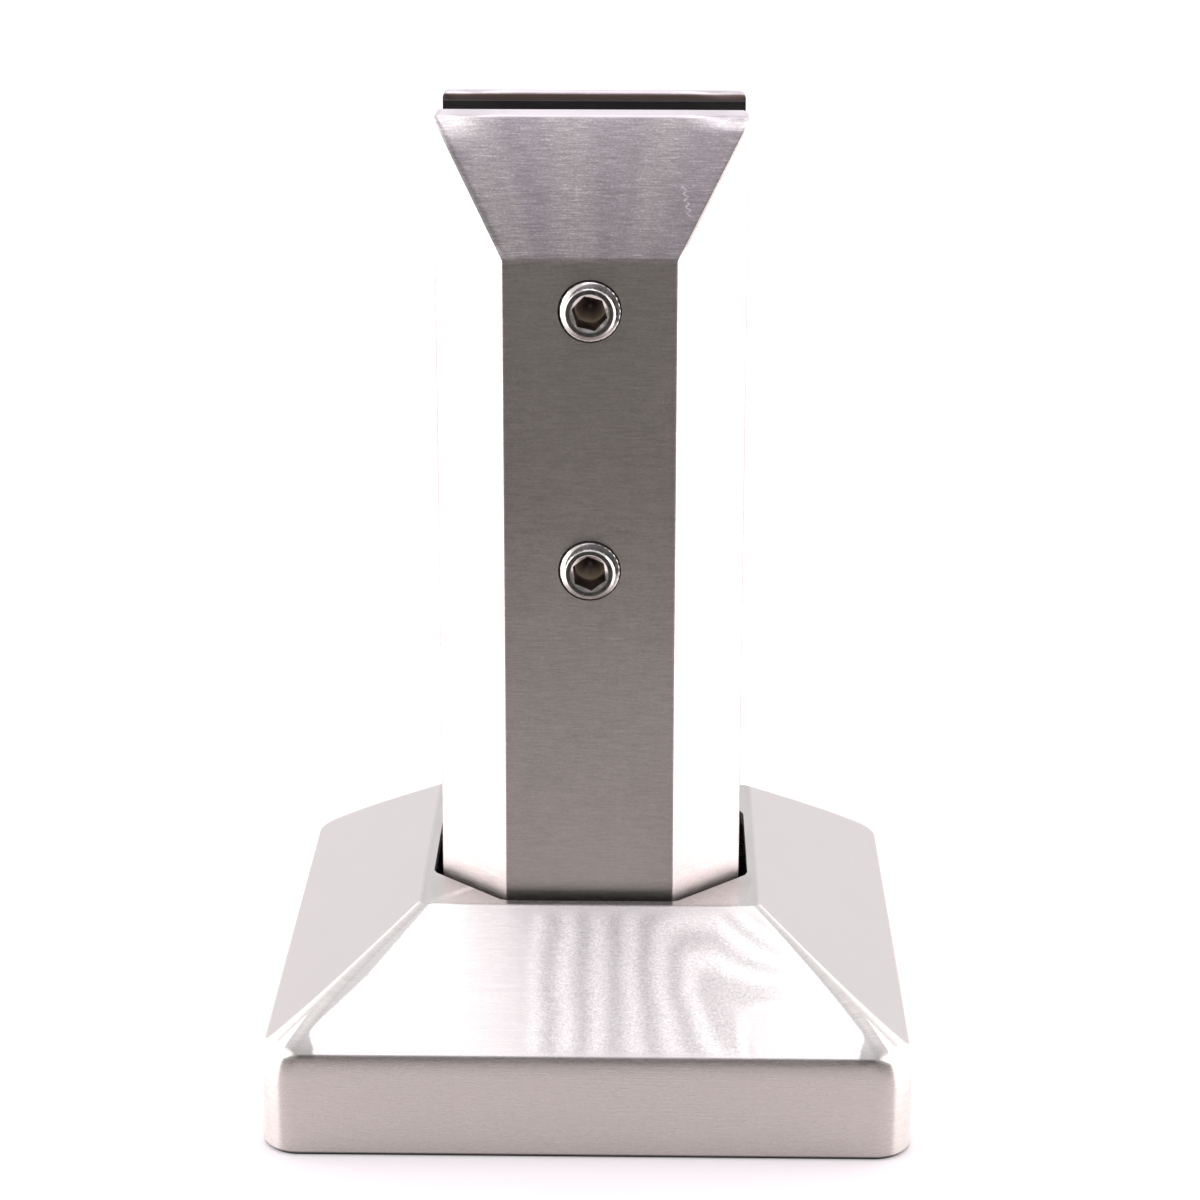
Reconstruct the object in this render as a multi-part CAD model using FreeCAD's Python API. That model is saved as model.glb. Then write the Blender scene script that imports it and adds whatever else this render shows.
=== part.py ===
"""Friction-fit spigot for a glass railing: a steel post with two jaws that clamp the foot of a glass panel.

Millimetres, +Z up. The origin is the middle of the footprint on the floor, and the set screws face -Y.
"""

import FreeCAD, Part
import math
import os

V = FreeCAD.Vector

# Post: a square bar whose four upright corners are cut off at 45 degrees
post_width = 50.0
post_corner_cut = 11.3
post_height = 162.0
post_edge_radius = 0.8
trim_overrun = 1.0

# Chisel top: the front and the back lean in towards the top of the jaws
lean_height = 21.0
jaw_top_depth = 26.8
lean_edge_radius = 2.5
jaw_top_radius = 0.8
jaw_end_radius = 1.2

# Slot for the glass, open at the top and at both sides
slot_width = 18.4
slot_depth = 98.0
slot_set_back = 2.0
slot_floor_radius = 1.5

# Base plate under the post, with a hole for an anchor near each corner
base_width = 98.5
base_thickness = 10.0
base_corner_radius = 6.0
base_edge_chamfer = 1.0
anchor_spacing = 68.0
anchor_hole_diameter = 11.0
post_root_radius = 4.0

# Core that hollows the foot of the casting from below
core_wall = 9.0
core_roof = 10.0
core_corner_radius = 6.0
core_draft_degrees = 1.5

# Slip-over cover: an upright skirt, four slopes and a narrow flat rim round the post
cover_wall = 2.5
cover_fit = 0.75
cover_skirt_height = 17.2
cover_height = 33.8
cover_rim = 1.6
cover_opening_clearance = 1.5
cover_corner_radius = 5.2
cover_rim_corner_radius = 1.6
cover_crease_radius = 0.8
cover_rim_edge_radius = 0.5
cover_foot_chamfer = 0.5

# Set screws in the front jaw
screw_diameter = 10.0
screw_length = 20.0
screw_clearance = 0.05
screw_end_chamfer = 1.2
screw_tip_diameter = 7.0
screw_tip_length = 1.2
hex_across_flats = 5.0
hex_depth = 5.0
hex_mouth_diameter = 6.2
hex_cone_degrees = 120.0
upper_screw_drop = 8.0
screw_spacing = 42.5
upper_screw_turn_degrees = 17.0
lower_screw_turn_degrees = 7.0

# Pressure plate and rubber liners in the slot
plate_thickness = 3.0
gasket_thickness = 1.5
liner_side_margin = 0.1
liner_top_drop = 1.4
screw_seat_depth = 0.5
screw_seat_clearance = 0.2
screw_end_play = 0.05
pad_thickness = 4.0
pad_side_clearance = 0.2
plate_foot_gap = 0.2

# Places that follow from the sizes
lean_start = post_height - lean_height
slot_front = slot_set_back - slot_width / 2
slot_rear = slot_set_back + slot_width / 2
slot_floor = post_height - slot_depth
pad_top = slot_floor + pad_thickness
liner_foot = pad_top + plate_foot_gap
liner_top = post_height - liner_top_drop
liner_width = post_width - 2 * liner_side_margin
plate_rear = slot_front + plate_thickness
cover_width = base_width + 2 * (cover_fit + cover_wall)
opening_width = post_width + 2 * cover_opening_clearance
rim_width = opening_width + 2 * cover_rim
upper_screw_height = lean_start - upper_screw_drop
lower_screw_height = upper_screw_height - screw_spacing
screw_heights = (upper_screw_height, lower_screw_height)
screw_tip_y = slot_front + screw_seat_depth - screw_end_play
screw_head_y = screw_tip_y - screw_length


def rounded_wire(corners):
    """Closed wire through (point, radius) corners, with an arc of that radius at each corner that has one."""
    spans = []
    count = len(corners)
    for i in range(count):
        point, radius = corners[i]
        before = (corners[i - 1][0] - point).normalize()
        after = (corners[(i + 1) % count][0] - point).normalize()
        half_angle = before.getAngle(after) / 2
        reach = radius / math.tan(half_angle)
        middle_line = (before + after).normalize()
        middle = point + middle_line * (radius / math.sin(half_angle) - radius)
        spans.append((point + before * reach, middle, point + after * reach, radius))
    edges = []
    for i in range(count):
        start, middle, end, radius = spans[i]
        if radius > 0:
            edges.append(Part.Arc(start, middle, end).toShape())
        edges.append(Part.LineSegment(end, spans[(i + 1) % count][0]).toShape())
    return Part.Wire(edges)


def square_wire(width, radius, z):
    """Square outline with rounded corners, centred on the Z axis."""
    h = width / 2
    corners = [V(-h, -h, z), V(h, -h, z), V(h, h, z), V(-h, h, z)]
    return rounded_wire([(c, radius) for c in corners])


def cut_square_wire(width, cut, radius, z):
    """Square outline with its corners cut off at 45 degrees, centred on the Z axis."""
    h = width / 2
    f = h - cut
    corners = [
        V(-f, -h, z), V(f, -h, z), V(h, -f, z), V(h, f, z),
        V(f, h, z), V(-f, h, z), V(-h, f, z), V(-h, -f, z),
    ]
    return rounded_wire([(c, radius) for c in corners])


def prism(wire, along):
    """Solid swept from a closed flat outline."""
    return Part.Face(wire).extrude(along)


def tapered_block(foot, head):
    """Solid between two rounded square outlines: four flat slopes joined by four ruled corners."""
    faces = [Part.Face(foot), Part.Face(head)]
    for low, high in zip(foot.Edges, head.Edges):
        if isinstance(low.Curve, Part.Line):
            ends = [v.Point for v in low.Vertexes + high.Vertexes[::-1]]
            faces.append(Part.Face(Part.makePolygon(ends + ends[:1])))
        else:
            faces.append(Part.makeRuledSurface(low, high))
    shell = Part.makeShell(faces)
    shell.sewShape()
    return Part.makeSolid(shell)


def edges_at_height(shape, z, half_width):
    """Edges that lie in the level plane at a height, within a distance of the Z axis along X and Y."""
    tiny = 1e-4
    reach = half_width + tiny
    box = FreeCAD.BoundBox(-reach, -reach, z - tiny, reach, reach, z + tiny)
    return [e for e in shape.Edges if box.isInside(e.BoundBox)]


def jaw_profile():
    """Side view of the post: the leaning front and back, and the slot with its rounded lips and floor."""
    h = post_width / 2
    t = jaw_top_depth / 2
    x = -h - trim_overrun
    outline = [
        (V(x, -h, 0), 0),
        (V(x, -h, lean_start), lean_edge_radius),
        (V(x, -t, post_height), jaw_top_radius),
        (V(x, slot_front, post_height), jaw_top_radius),
        (V(x, slot_front, slot_floor), slot_floor_radius),
        (V(x, slot_rear, slot_floor), slot_floor_radius),
        (V(x, slot_rear, post_height), jaw_top_radius),
        (V(x, t, post_height), jaw_top_radius),
        (V(x, h, lean_start), lean_edge_radius),
        (V(x, h, 0), 0),
    ]
    return prism(rounded_wire(outline), V(post_width + 2 * trim_overrun, 0, 0))


def jaw_ends():
    """Front view of the post, with the ends of the jaws rounded over."""
    h = post_width / 2
    y = -h - trim_overrun
    outline = [
        (V(-h, y, 0), 0),
        (V(-h, y, post_height), jaw_end_radius),
        (V(h, y, post_height), jaw_end_radius),
        (V(h, y, 0), 0),
    ]
    return prism(rounded_wire(outline), V(0, post_width + 2 * trim_overrun, 0))


def post():
    """Post with its jaws: the plan outline trimmed by its side view and its front view."""
    plan = prism(cut_square_wire(post_width, post_corner_cut, post_edge_radius, 0), V(0, 0, post_height))
    return plan.common(jaw_profile()).common(jaw_ends())


def base_plate():
    """Flat foot of the casting, with its upper edge eased."""
    plate = prism(square_wire(base_width, base_corner_radius, 0), V(0, 0, base_thickness))
    return plate.makeChamfer(base_edge_chamfer, edges_at_height(plate, base_thickness, base_width / 2))


def foot_core():
    """Hollow under the post, tapering upwards so that the casting's core can be drawn."""
    height = slot_floor - core_roof
    width = post_width - 2 * core_wall
    taper = 2 * height * math.tan(math.radians(core_draft_degrees))
    mouth = square_wire(width, core_corner_radius, 0)
    crown = square_wire(width - taper, core_corner_radius, height)
    return tapered_block(mouth, crown)


def round_bar(radius, x, y, z, along):
    """Cylinder from a point along a vector."""
    return Part.makeCylinder(radius, along.Length, V(x, y, z), along)


def spigot_body():
    """Casting: post and jaws on the base plate, with the anchor holes and the screw holes."""
    body = post().fuse(base_plate()).removeSplitter()
    body = body.makeFillet(post_root_radius, edges_at_height(body, base_thickness, post_width / 2))
    body = body.cut(foot_core())
    reach = anchor_spacing / 2
    for x in (-reach, reach):
        for y in (-reach, reach):
            body = body.cut(round_bar(anchor_hole_diameter / 2, x, y, 0, V(0, 0, base_thickness)))
    jaw = V(0, slot_front + post_width / 2, 0)
    for z in screw_heights:
        body = body.cut(round_bar(screw_diameter / 2 + screw_clearance, 0, -post_width / 2, z, jaw))
    return body


def cover_block(inset):
    """Outside of the cover, or the space inside it where every face is set in by the wall."""
    slope = math.atan2(cover_height - cover_skirt_height, (cover_width - rim_width) / 2)
    crease_drop = inset * (1 - math.sin(slope)) / math.cos(slope)
    crease = cover_skirt_height - crease_drop
    top = cover_height - inset
    width = cover_width - 2 * inset
    rim = width - 2 * (top - crease) / math.tan(slope)
    skirt = prism(square_wire(width, cover_corner_radius - inset, 0), V(0, 0, crease))
    foot = square_wire(width, cover_corner_radius - inset, crease)
    head = square_wire(rim, cover_rim_corner_radius, top)
    return skirt.fuse(tapered_block(foot, head)).removeSplitter()


def base_cover():
    """Hollow slip-over cover with eased edges and a cut-cornered opening for the post."""
    block = cover_block(0)
    block = block.makeFillet(cover_crease_radius, edges_at_height(block, cover_skirt_height, cover_width / 2))
    block = block.makeFillet(cover_rim_edge_radius, edges_at_height(block, cover_height, rim_width / 2))
    block = block.makeChamfer(cover_foot_chamfer, edges_at_height(block, 0, cover_width / 2))
    shell = block.cut(cover_block(cover_wall))
    corner_cut = post_corner_cut + (2 - math.sqrt(2)) * cover_opening_clearance
    opening = prism(cut_square_wire(opening_width, corner_cut, post_edge_radius, 0), V(0, 0, cover_height))
    return shell.cut(opening)


def set_screw(z, turn):
    """Set screw with a chamfered end, a dog point and a hexagon socket that ends in a cone.

    The turn is how far a corner of the socket stands from straight up, to the left as seen from the front.
    """
    radius = screw_diameter / 2
    tip = screw_tip_diameter / 2
    outline = [
        V(0, 0, 0), V(radius - screw_end_chamfer, 0, 0), V(radius, screw_end_chamfer, 0),
        V(radius, screw_length - screw_tip_length - (radius - tip), 0),
        V(tip, screw_length - screw_tip_length, 0), V(tip, screw_length, 0), V(0, screw_length, 0),
    ]
    wire = Part.makePolygon(outline + outline[:1])
    screw = Part.Face(wire).revolve(V(0, 0, 0), V(0, 1, 0), 360)
    corner = hex_across_flats / math.sqrt(3)
    angles = [math.radians(60 * i + turn) for i in range(7)]
    hexagon = Part.makePolygon([V(-corner * math.sin(a), 0, corner * math.cos(a)) for a in angles])
    socket = prism(hexagon, V(0, hex_depth, 0))
    half_cone = math.tan(math.radians(hex_cone_degrees / 2))
    flat = hex_across_flats / 2
    drill_point = Part.makeCone(flat, 0, flat / half_cone, V(0, hex_depth, 0), V(0, 1, 0))
    mouth = hex_mouth_diameter / 2
    countersink = Part.makeCone(mouth, 0, mouth / half_cone, V(0, 0, 0), V(0, 1, 0))
    screw = screw.cut(socket).cut(drill_point).cut(countersink)
    screw.translate(V(0, screw_head_y, z))
    return screw


def liner(front, thickness):
    """Upright sheet in the slot, as wide as the jaws, that stands just clear of the seat pad."""
    corner = V(-liner_width / 2, front, liner_foot)
    return Part.makeBox(liner_width, thickness, liner_top - liner_foot, corner)


def pressure_plate():
    """Plate against the front jaw, with a shallow round seat for the point of each set screw."""
    plate = liner(slot_front, plate_thickness)
    seat = screw_tip_diameter / 2 + screw_seat_clearance
    for z in screw_heights:
        plate = plate.cut(round_bar(seat, 0, slot_front, z, V(0, screw_seat_depth, 0)))
    return plate


def glass_seat_pad():
    """Pad on the slot's floor, with its lower edges cut to clear the rounded floor corners."""
    front = slot_front + pad_side_clearance
    rear = slot_rear - pad_side_clearance
    cut = slot_floor_radius
    x = -liner_width / 2
    outline = [
        V(x, front + cut, slot_floor), V(x, rear - cut, slot_floor), V(x, rear, slot_floor + cut),
        V(x, rear, pad_top), V(x, front, pad_top), V(x, front, slot_floor + cut),
    ]
    return prism(Part.makePolygon(outline + outline[:1]), V(liner_width, 0, 0))


def pieces():
    """Every piece of the spigot, by name."""
    return {
        "spigot_body": spigot_body(),
        "base_cover": base_cover(),
        "pressure_plate": pressure_plate(),
        "front_gasket": liner(plate_rear, gasket_thickness),
        "rear_gasket": liner(slot_rear - gasket_thickness, gasket_thickness),
        "glass_seat_pad": glass_seat_pad(),
        "upper_set_screw": set_screw(upper_screw_height, upper_screw_turn_degrees),
        "lower_set_screw": set_screw(lower_screw_height, lower_screw_turn_degrees),
    }


def main():
    os.makedirs("parts", exist_ok=True)
    for name, shape in pieces().items():
        if not shape.isValid() or len(shape.Solids) != 1:
            raise RuntimeError(name + " is not one sound solid")
        shape.Solids[0].exportStep(os.path.join("parts", name + ".step"))
        print(name, round(shape.Volume), "mm3")


main()
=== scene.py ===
"""Looks of a glass railing spigot: brushed steel finishes, threaded set screws, rubber liners and a studio.

The file is laid out as a Blender add-on and is run as a script. Lengths in the properties are in metres, in
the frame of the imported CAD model: +Z up along the post, -Y towards the side with the set screws. The
finishes count in millimetres, from the same origin.
"""

import math

import bpy
import numpy as np
from bpy.props import FloatProperty, FloatVectorProperty, PointerProperty
from bpy.types import Operator, Panel, PropertyGroup
from mathutils import Matrix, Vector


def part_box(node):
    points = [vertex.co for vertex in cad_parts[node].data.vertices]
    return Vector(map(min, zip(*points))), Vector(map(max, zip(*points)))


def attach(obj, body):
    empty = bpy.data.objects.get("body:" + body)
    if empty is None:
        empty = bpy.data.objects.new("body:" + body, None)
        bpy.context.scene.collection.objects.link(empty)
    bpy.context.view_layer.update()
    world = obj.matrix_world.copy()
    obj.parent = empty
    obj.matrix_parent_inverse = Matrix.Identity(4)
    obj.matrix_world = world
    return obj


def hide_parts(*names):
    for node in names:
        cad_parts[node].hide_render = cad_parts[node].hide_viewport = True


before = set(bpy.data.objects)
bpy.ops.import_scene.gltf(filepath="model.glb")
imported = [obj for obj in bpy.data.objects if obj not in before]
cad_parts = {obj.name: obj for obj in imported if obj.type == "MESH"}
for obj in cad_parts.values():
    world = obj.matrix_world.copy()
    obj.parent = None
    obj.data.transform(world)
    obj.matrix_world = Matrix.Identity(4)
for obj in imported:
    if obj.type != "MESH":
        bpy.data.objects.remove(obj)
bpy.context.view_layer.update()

bl_info = {
    "name": "Glass railing spigot",
    "version": (1, 0, 0),
    "blender": (4, 5, 0),
    "location": "3D View > Sidebar > Spigot",
    "description": "Steel and rubber finishes, threaded set screws and a studio for a glass railing spigot",
    "category": "Object",
}

MM = 0.001
MICRON = 0.001 * MM
SCREWS = {"upper_set_screw": "upper_screw", "lower_set_screw": "lower_screw"}
WHITE = (1.0, 1.0, 1.0, 1.0)
SHARP_ANGLE = math.radians(32.0)

# Places in the CAD model that the finishes go by, in millimetres.
SKIRT_TOP, COVER_TOP = 17.2, 33.8
POST_HALF, POST_TOP = 25.0, 162.0
LEAN_FOOT, LEAN_FOOT_HALF, LEAN_SPREAD = 141.0, 13.7, 0.552
SLOT_FLOOR, SLOT_MIDDLE, SLOT_HALF = 62.0, 2.0, 9.3
CORE_TOP, CORE_HALF = 60.0, 17.0


class SpigotSteel(PropertyGroup):
    """Colours and grain of the brushed steel on the post and the cover."""

    post_colour: FloatVectorProperty(
        name="Post colour", description="Reflected colour of the brushed post", default=(0.62, 0.60, 0.58),
        subtype="COLOR", min=0.0, max=1.0)
    post_roughness: FloatProperty(
        name="Post roughness", description="Roughness of the brushed post", default=0.34, min=0.0, max=1.0,
        subtype="FACTOR")
    cover_colour: FloatVectorProperty(
        name="Cover colour", description="Reflected colour of the base cover", default=(0.66, 0.64, 0.63),
        subtype="COLOR", min=0.0, max=1.0)
    cover_roughness: FloatProperty(
        name="Cover roughness", description="Roughness of the base cover", default=0.28, min=0.0, max=1.0,
        subtype="FACTOR")
    cast_colour: FloatVectorProperty(
        name="Cast colour", description="Colour of the blasted steel under the cover",
        default=(0.40, 0.39, 0.38), subtype="COLOR", min=0.0, max=1.0)
    slot_colour: FloatVectorProperty(
        name="Slot colour", description="Colour of the milled and stained walls of the slot",
        default=(0.36, 0.28, 0.25), subtype="COLOR", min=0.0, max=1.0)
    grain_length: FloatProperty(
        name="Grain length", description="Length of a short brush mark", default=0.45 * MM, min=0.1 * MM,
        unit="LENGTH")
    grain_width: FloatProperty(
        name="Grain width", description="Width of a brush mark", default=0.2 * MM, min=0.01 * MM,
        unit="LENGTH")
    streak_length: FloatProperty(
        name="Streak length", description="Length of a long brush line", default=3.0 * MM, min=0.1 * MM,
        unit="LENGTH")
    ripple_pitch: FloatProperty(
        name="Ripple pitch", description="Distance between two polishing waves on the cover",
        default=5.0 * MM, min=0.1 * MM, unit="LENGTH")
    ripple_height: FloatProperty(
        name="Ripple height", description="Height of the polishing waves on the cover", default=0.01 * MM,
        min=0.0, unit="LENGTH")


class SpigotCover(PropertyGroup):
    """Sizes of the pressed base cover inside its box in the CAD model."""

    skirt_height: FloatProperty(
        name="Skirt height", description="Height of the upright skirt", default=17.2 * MM, unit="LENGTH")
    rim_half: FloatProperty(
        name="Rim half width", description="From the axis to the outer edge of the flat rim",
        default=28.1 * MM, unit="LENGTH")
    opening_half: FloatProperty(
        name="Opening half width", description="From the axis to a side of the opening", default=26.5 * MM,
        unit="LENGTH")
    opening_cut: FloatProperty(
        name="Opening cut", description="How much of a side of the opening its cut corners take",
        default=12.18 * MM, unit="LENGTH")
    wall: FloatProperty(
        name="Wall", description="Thickness of the cover's wall", default=2.5 * MM, unit="LENGTH")
    corner_radius: FloatProperty(
        name="Corner radius", description="Radius of the skirt's corners", default=6.2 * MM, unit="LENGTH")
    rim_corner_radius: FloatProperty(
        name="Rim corner radius", description="Radius of the rim's corners", default=1.6 * MM,
        unit="LENGTH")
    crease_radius: FloatProperty(
        name="Crease radius", description="Radius between the skirt and a slope", default=1.5 * MM,
        unit="LENGTH")
    crease_fade: FloatProperty(
        name="Crease fade", description="How much further the crease's rounding runs down the skirt",
        default=2.8 * MM, unit="LENGTH")
    corner_blend: FloatProperty(
        name="Corner blend", description="How many times further the crease's rounding reaches at a corner",
        default=3.0, min=1.0)
    rim_edge_radius: FloatProperty(
        name="Rim edge radius", description="Radius between a slope and the rim", default=1.1 * MM,
        unit="LENGTH")
    foot_chamfer: FloatProperty(
        name="Foot chamfer", description="Chamfer round the foot of the skirt", default=0.5 * MM,
        unit="LENGTH")


class SpigotScrews(PropertyGroup):
    """Sizes and finish of the two socket set screws."""

    diameter: FloatProperty(
        name="Thread diameter", description="Outside diameter of the thread", default=10.0 * MM,
        unit="LENGTH")
    pitch: FloatProperty(
        name="Thread pitch", description="Advance of the thread in one turn", default=1.5 * MM,
        unit="LENGTH")
    thread_depth: FloatProperty(
        name="Thread depth", description="Depth of the thread's groove", default=0.9 * MM, unit="LENGTH")
    end_chamfer: FloatProperty(
        name="End chamfer", description="Chamfer round the end with the socket", default=1.02 * MM,
        unit="LENGTH")
    crest_wear: FloatProperty(
        name="Crest wear", description="How far the thread's crests lie below the full size",
        default=0.18 * MM, unit="LENGTH")
    upper_start: FloatProperty(
        name="Upper start", description="Share of a turn by which the upper screw's thread is ahead",
        default=0.88)
    lower_start: FloatProperty(
        name="Lower start", description="Share of a turn by which the lower screw's thread is ahead",
        default=0.80)
    tip_diameter: FloatProperty(
        name="Tip diameter", description="Diameter of the dog point", default=7.0 * MM, unit="LENGTH")
    tip_length: FloatProperty(
        name="Tip length", description="Length of the dog point", default=1.2 * MM, unit="LENGTH")
    across_flats: FloatProperty(
        name="Across flats", description="Width of the hexagon socket", default=5.0 * MM, unit="LENGTH")
    socket_depth: FloatProperty(
        name="Socket depth", description="Depth of the hexagon socket", default=5.0 * MM, unit="LENGTH")
    mouth_diameter: FloatProperty(
        name="Mouth diameter", description="Countersink round the hexagon", default=6.2 * MM, unit="LENGTH")
    upper_turn: FloatProperty(
        name="Upper turn", description="Turn of the upper socket, to the left", default=math.radians(17.0),
        subtype="ANGLE")
    lower_turn: FloatProperty(
        name="Lower turn", description="Turn of the lower socket, to the left", default=math.radians(7.0),
        subtype="ANGLE")
    colour: FloatVectorProperty(
        name="Colour", description="Reflected colour of the bright screws", default=(0.74, 0.72, 0.70),
        subtype="COLOR", min=0.0, max=1.0)
    roughness: FloatProperty(
        name="Roughness", description="Roughness of the bright screws", default=0.16, min=0.0, max=1.0,
        subtype="FACTOR")


class SpigotClamp(PropertyGroup):
    """Finish of the pressure plate, the rubber gaskets and the seat pad in the slot."""

    rubber_colour: FloatVectorProperty(
        name="Rubber colour", description="Colour of the gaskets and the seat pad",
        default=(0.027, 0.026, 0.028), subtype="COLOR", min=0.0, max=1.0)
    rubber_bloom: FloatVectorProperty(
        name="Rubber bloom", description="Colour of the pale bloom on the rubber",
        default=(0.05, 0.048, 0.045), subtype="COLOR", min=0.0, max=1.0)
    rubber_grain: FloatProperty(
        name="Rubber grain", description="Size of the rubber's grain", default=0.3 * MM, unit="LENGTH")
    plate_colour: FloatVectorProperty(
        name="Plate colour", description="Reflected colour of the pressure plate",
        default=(0.55, 0.54, 0.52), subtype="COLOR", min=0.0, max=1.0)


class SpigotStudio(PropertyGroup):
    """Camera, floor and soft light round the spigot."""

    camera_place: FloatVectorProperty(
        name="Camera place", description="Where the camera stands",
        default=(10.04 * MM, -523.35 * MM, 243.56 * MM), subtype="TRANSLATION", unit="LENGTH")
    camera_turn: FloatVectorProperty(
        name="Camera turn", description="Downward pitch, turn to the left and roll of the camera",
        default=(math.radians(17.586), math.radians(0.96), math.radians(0.087)), subtype="EULER")
    camera_lens: FloatProperty(
        name="Camera lens", description="Focal length in millimetres on a sensor 36 mm wide", default=97.34)
    floor_front: FloatProperty(
        name="Floor front", description="How far the floor reaches in front of the spigot",
        default=130.0 * MM, unit="LENGTH")
    floor_reach: FloatProperty(
        name="Floor reach", description="How far the floor reaches to the sides and behind", default=1.6,
        unit="LENGTH")
    floor_colour: FloatVectorProperty(
        name="Floor colour", description="Colour of the pale floor", default=(0.70, 0.645, 0.68),
        subtype="COLOR", min=0.0, max=1.0)
    mirrored_colour: FloatVectorProperty(
        name="Mirrored colour", description="Colour of the floor as steel mirrors it",
        default=(0.71, 0.643, 0.643), subtype="COLOR", min=0.0, max=1.0)
    floor_glow: FloatProperty(
        name="Floor glow", description="How much brighter the camera sees the floor", default=0.36)
    floor_sheen: FloatProperty(
        name="Floor sheen", description="Brightness that steel mirrors from the rest of the floor",
        default=0.12)
    floor_pool: FloatProperty(
        name="Floor pool", description="Brightness that steel mirrors from the lit floor at the sides",
        default=1.5)
    side_light: FloatProperty(
        name="Side light", description="Brightness of the panels at the left and the right", default=3.4)
    side_colour: FloatVectorProperty(
        name="Side colour", description="Colour of the panels at the left and the right",
        default=(1.0, 0.945, 0.92), subtype="COLOR", min=0.0, max=1.0)
    top_light: FloatProperty(
        name="Top light", description="Brightness of the panel in the roof", default=3.0)
    cloth_light: FloatProperty(
        name="Cloth light", description="Brightness of the pale cloth above and behind", default=0.98)
    cloth_colour: FloatVectorProperty(
        name="Cloth colour", description="Colour of the cloth and of the panel in the roof",
        default=(0.98, 0.955, 0.97), subtype="COLOR", min=0.0, max=1.0)
    back_light: FloatProperty(
        name="Back light", description="How much brighter the back wall is above the spigot", default=0.35)
    front_low: FloatVectorProperty(
        name="Front low", description="Colour of the dim room in front, at the height of the spigot",
        default=(0.18, 0.168, 0.155), subtype="COLOR", min=0.0, max=1.0)
    front_high: FloatVectorProperty(
        name="Front high", description="Colour of the dim room in front, high up",
        default=(0.86, 0.785, 0.92), subtype="COLOR", min=0.0, max=1.0)


class Value:
    """The output of a node. Plain arithmetic with it adds Math nodes to the tree."""

    def __init__(self, shader, socket):
        self.shader = shader
        self.socket = socket

    def math(self, operation, *others):
        """One Math node on this value and others."""
        return self.shader.math(operation, self, *others)

    def __add__(self, other):
        return self.math("ADD", other)

    def __sub__(self, other):
        return self.math("SUBTRACT", other)

    def __rsub__(self, other):
        return self.shader.math("SUBTRACT", other, self)

    def __mul__(self, other):
        return self.math("MULTIPLY", other)

    def __truediv__(self, other):
        return self.math("DIVIDE", other)

    def __pow__(self, other):
        return self.math("POWER", other)

    def __neg__(self):
        return self * -1.0

    def __abs__(self):
        return self.math("ABSOLUTE")

    def most(self, other):
        """The larger of two values."""
        return self.math("MAXIMUM", other)

    def wave(self):
        """The cosine of the value, moved to between 0 and 1."""
        return self.math("COSINE") * 0.5 + 0.5

    def ramp(self, low, high, to_low=0.0, to_high=1.0, kind="LINEAR"):
        """A value between low and high as one between to_low and to_high, held at both ends."""
        return self.shader.value("MapRange", {"interpolation_type": kind}, Value=self, From_Min=low,
                                 From_Max=high, To_Min=to_low, To_Max=to_high)

    def fall(self, low, high):
        """1 up to low, 0 from high on, and straight between."""
        return self.ramp(low, high, 1.0, 0.0)

    def ease(self, low, high, to_low=0.0, to_high=1.0):
        """Like ramp, but with a soft start and end."""
        return self.ramp(low, high, to_low, to_high, "SMOOTHSTEP")

    def ease_off(self, low, high):
        """Like fall, but with a soft start and end."""
        return self.ease(low, high, 1.0, 0.0)


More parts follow.
